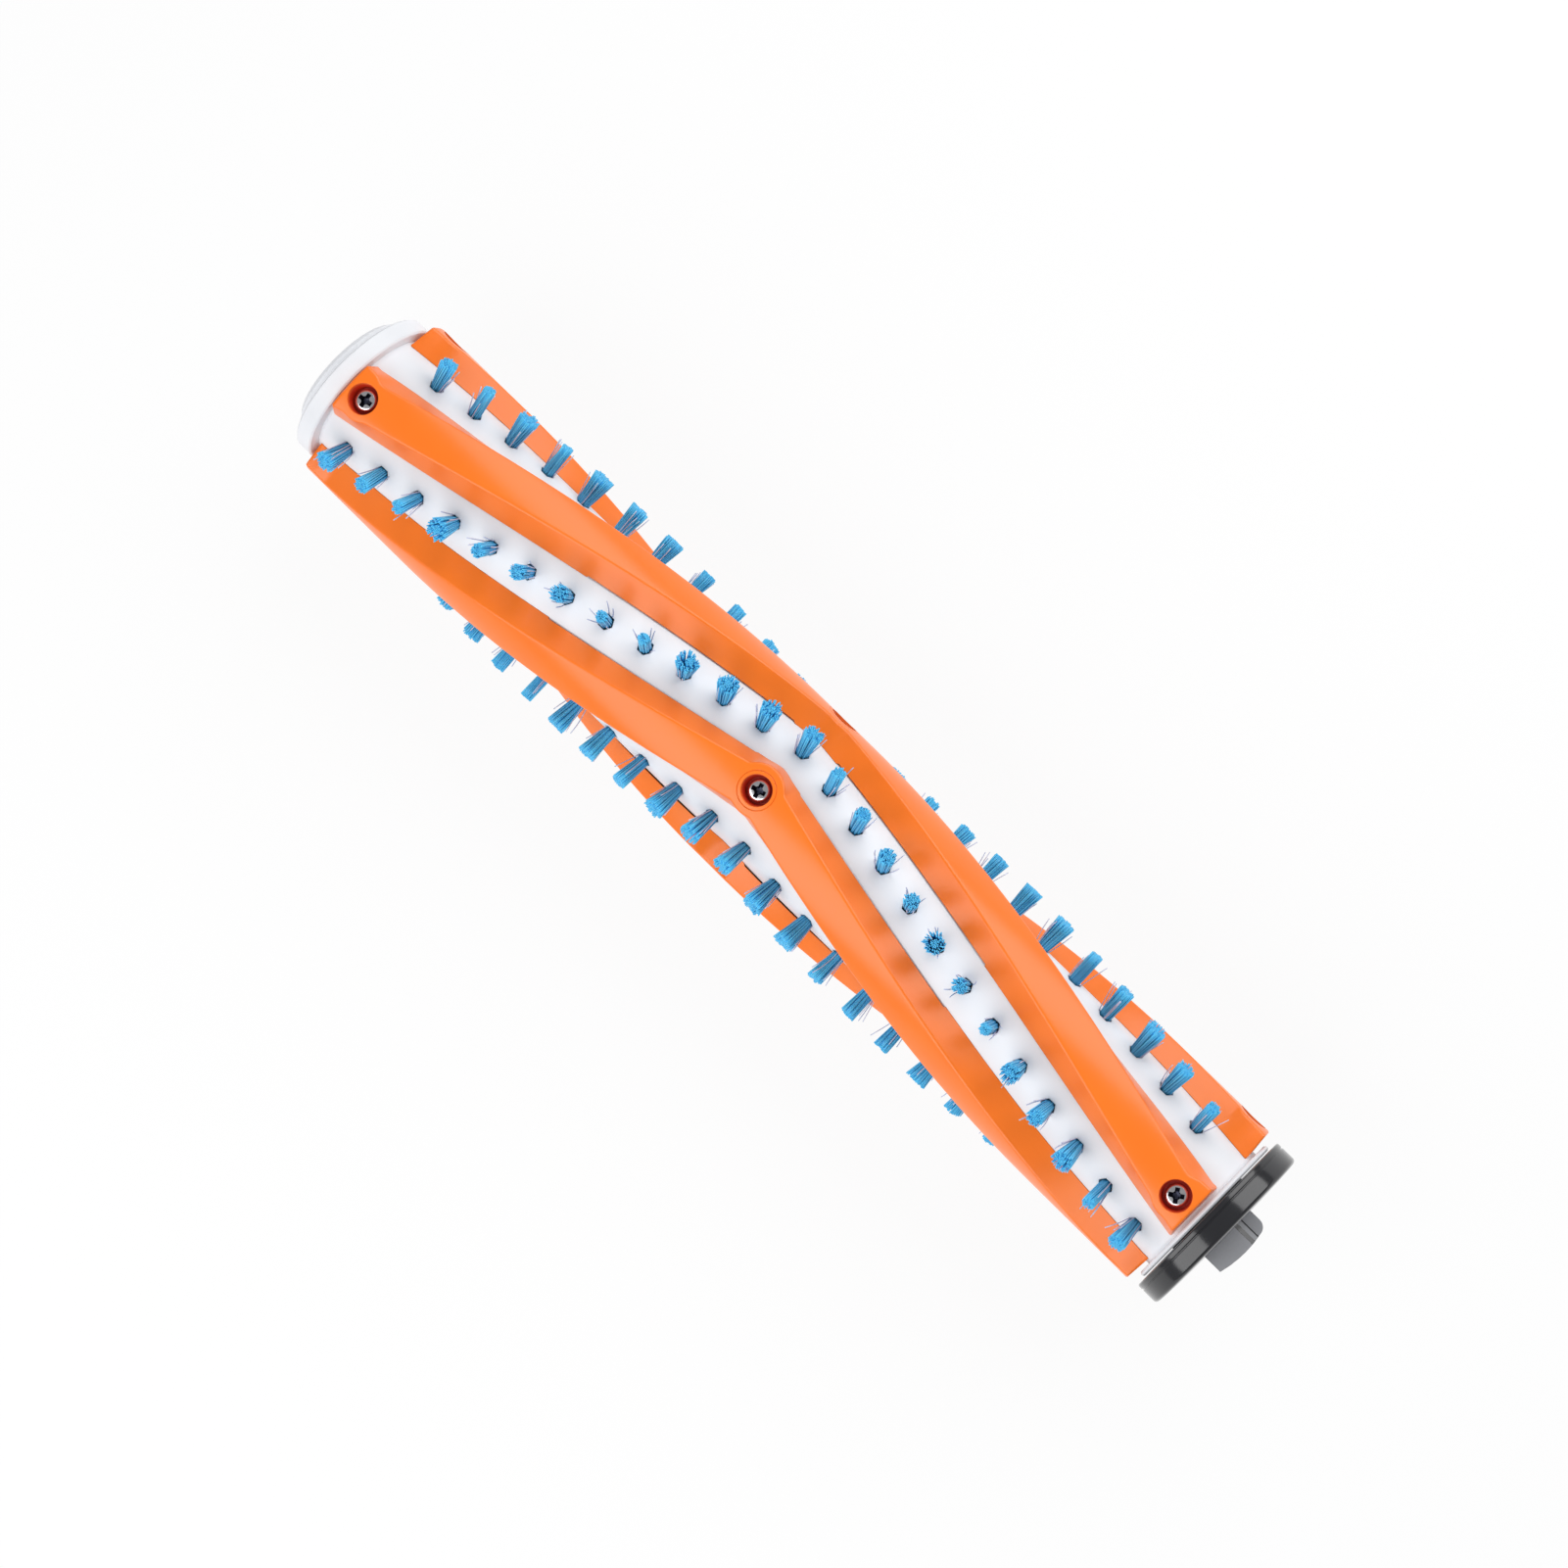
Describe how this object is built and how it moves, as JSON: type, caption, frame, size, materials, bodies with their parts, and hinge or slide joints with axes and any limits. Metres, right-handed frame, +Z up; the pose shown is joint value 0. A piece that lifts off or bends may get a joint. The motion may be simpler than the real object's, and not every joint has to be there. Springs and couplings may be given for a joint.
{
  "type": "vacuum roller brush",
  "caption": "Roller brush for a vacuum cleaner head: a white core with screwed-on orange chevron bars and rows of blue bristle tufts, a splined drive end and a keyed black end cap.",
  "frame": {"origin": "centre of the drive socket's mouth, on the spin axis", "axes": "+X along the spin axis from the drive end to the key on the end cap, +Z up and square to the key's flats, +Y across the key"},
  "size_m": [0.2757, 0.0482, 0.0482],
  "materials": {
    "white_moulding": "satin",
    "orange_bar": "satin",
    "blue_bristle": "matte",
    "black_cap": "gloss",
    "bright_steel": "satin",
    "sintered_bronze": "matte",
    "grey_felt": "matte",
    "plated_screw": "gloss"
  },
  "bodies": {
    "end_cap": {"end_cap": "black_cap", "bearing_bush": "sintered_bronze", "dust_seal": "grey_felt"},
    "roller": {"core": "white_moulding", "drive_coupling": "white_moulding", "chevron_bar_1": "orange_bar", "chevron_bar_2": "orange_bar", "chevron_bar_3": "orange_bar", "chevron_bar_4": "orange_bar", "bar_screws": "plated_screw", "tuft_row_1": "blue_bristle", "tuft_row_2": "blue_bristle", "tuft_row_3": "blue_bristle", "tuft_row_4": "blue_bristle", "axle_plug": "white_moulding", "axle": "bright_steel", "inner_washer": "bright_steel", "outer_washer": "bright_steel", "retaining_ring": "bright_steel"}
  },
  "joints": [
    {"name": "roller_spin", "type": "hinge", "parent": "end_cap", "child": "roller", "pos_m": [0.2665, 0, 0], "axis": [1, 0, 0], "continuous": true}
  ]
}
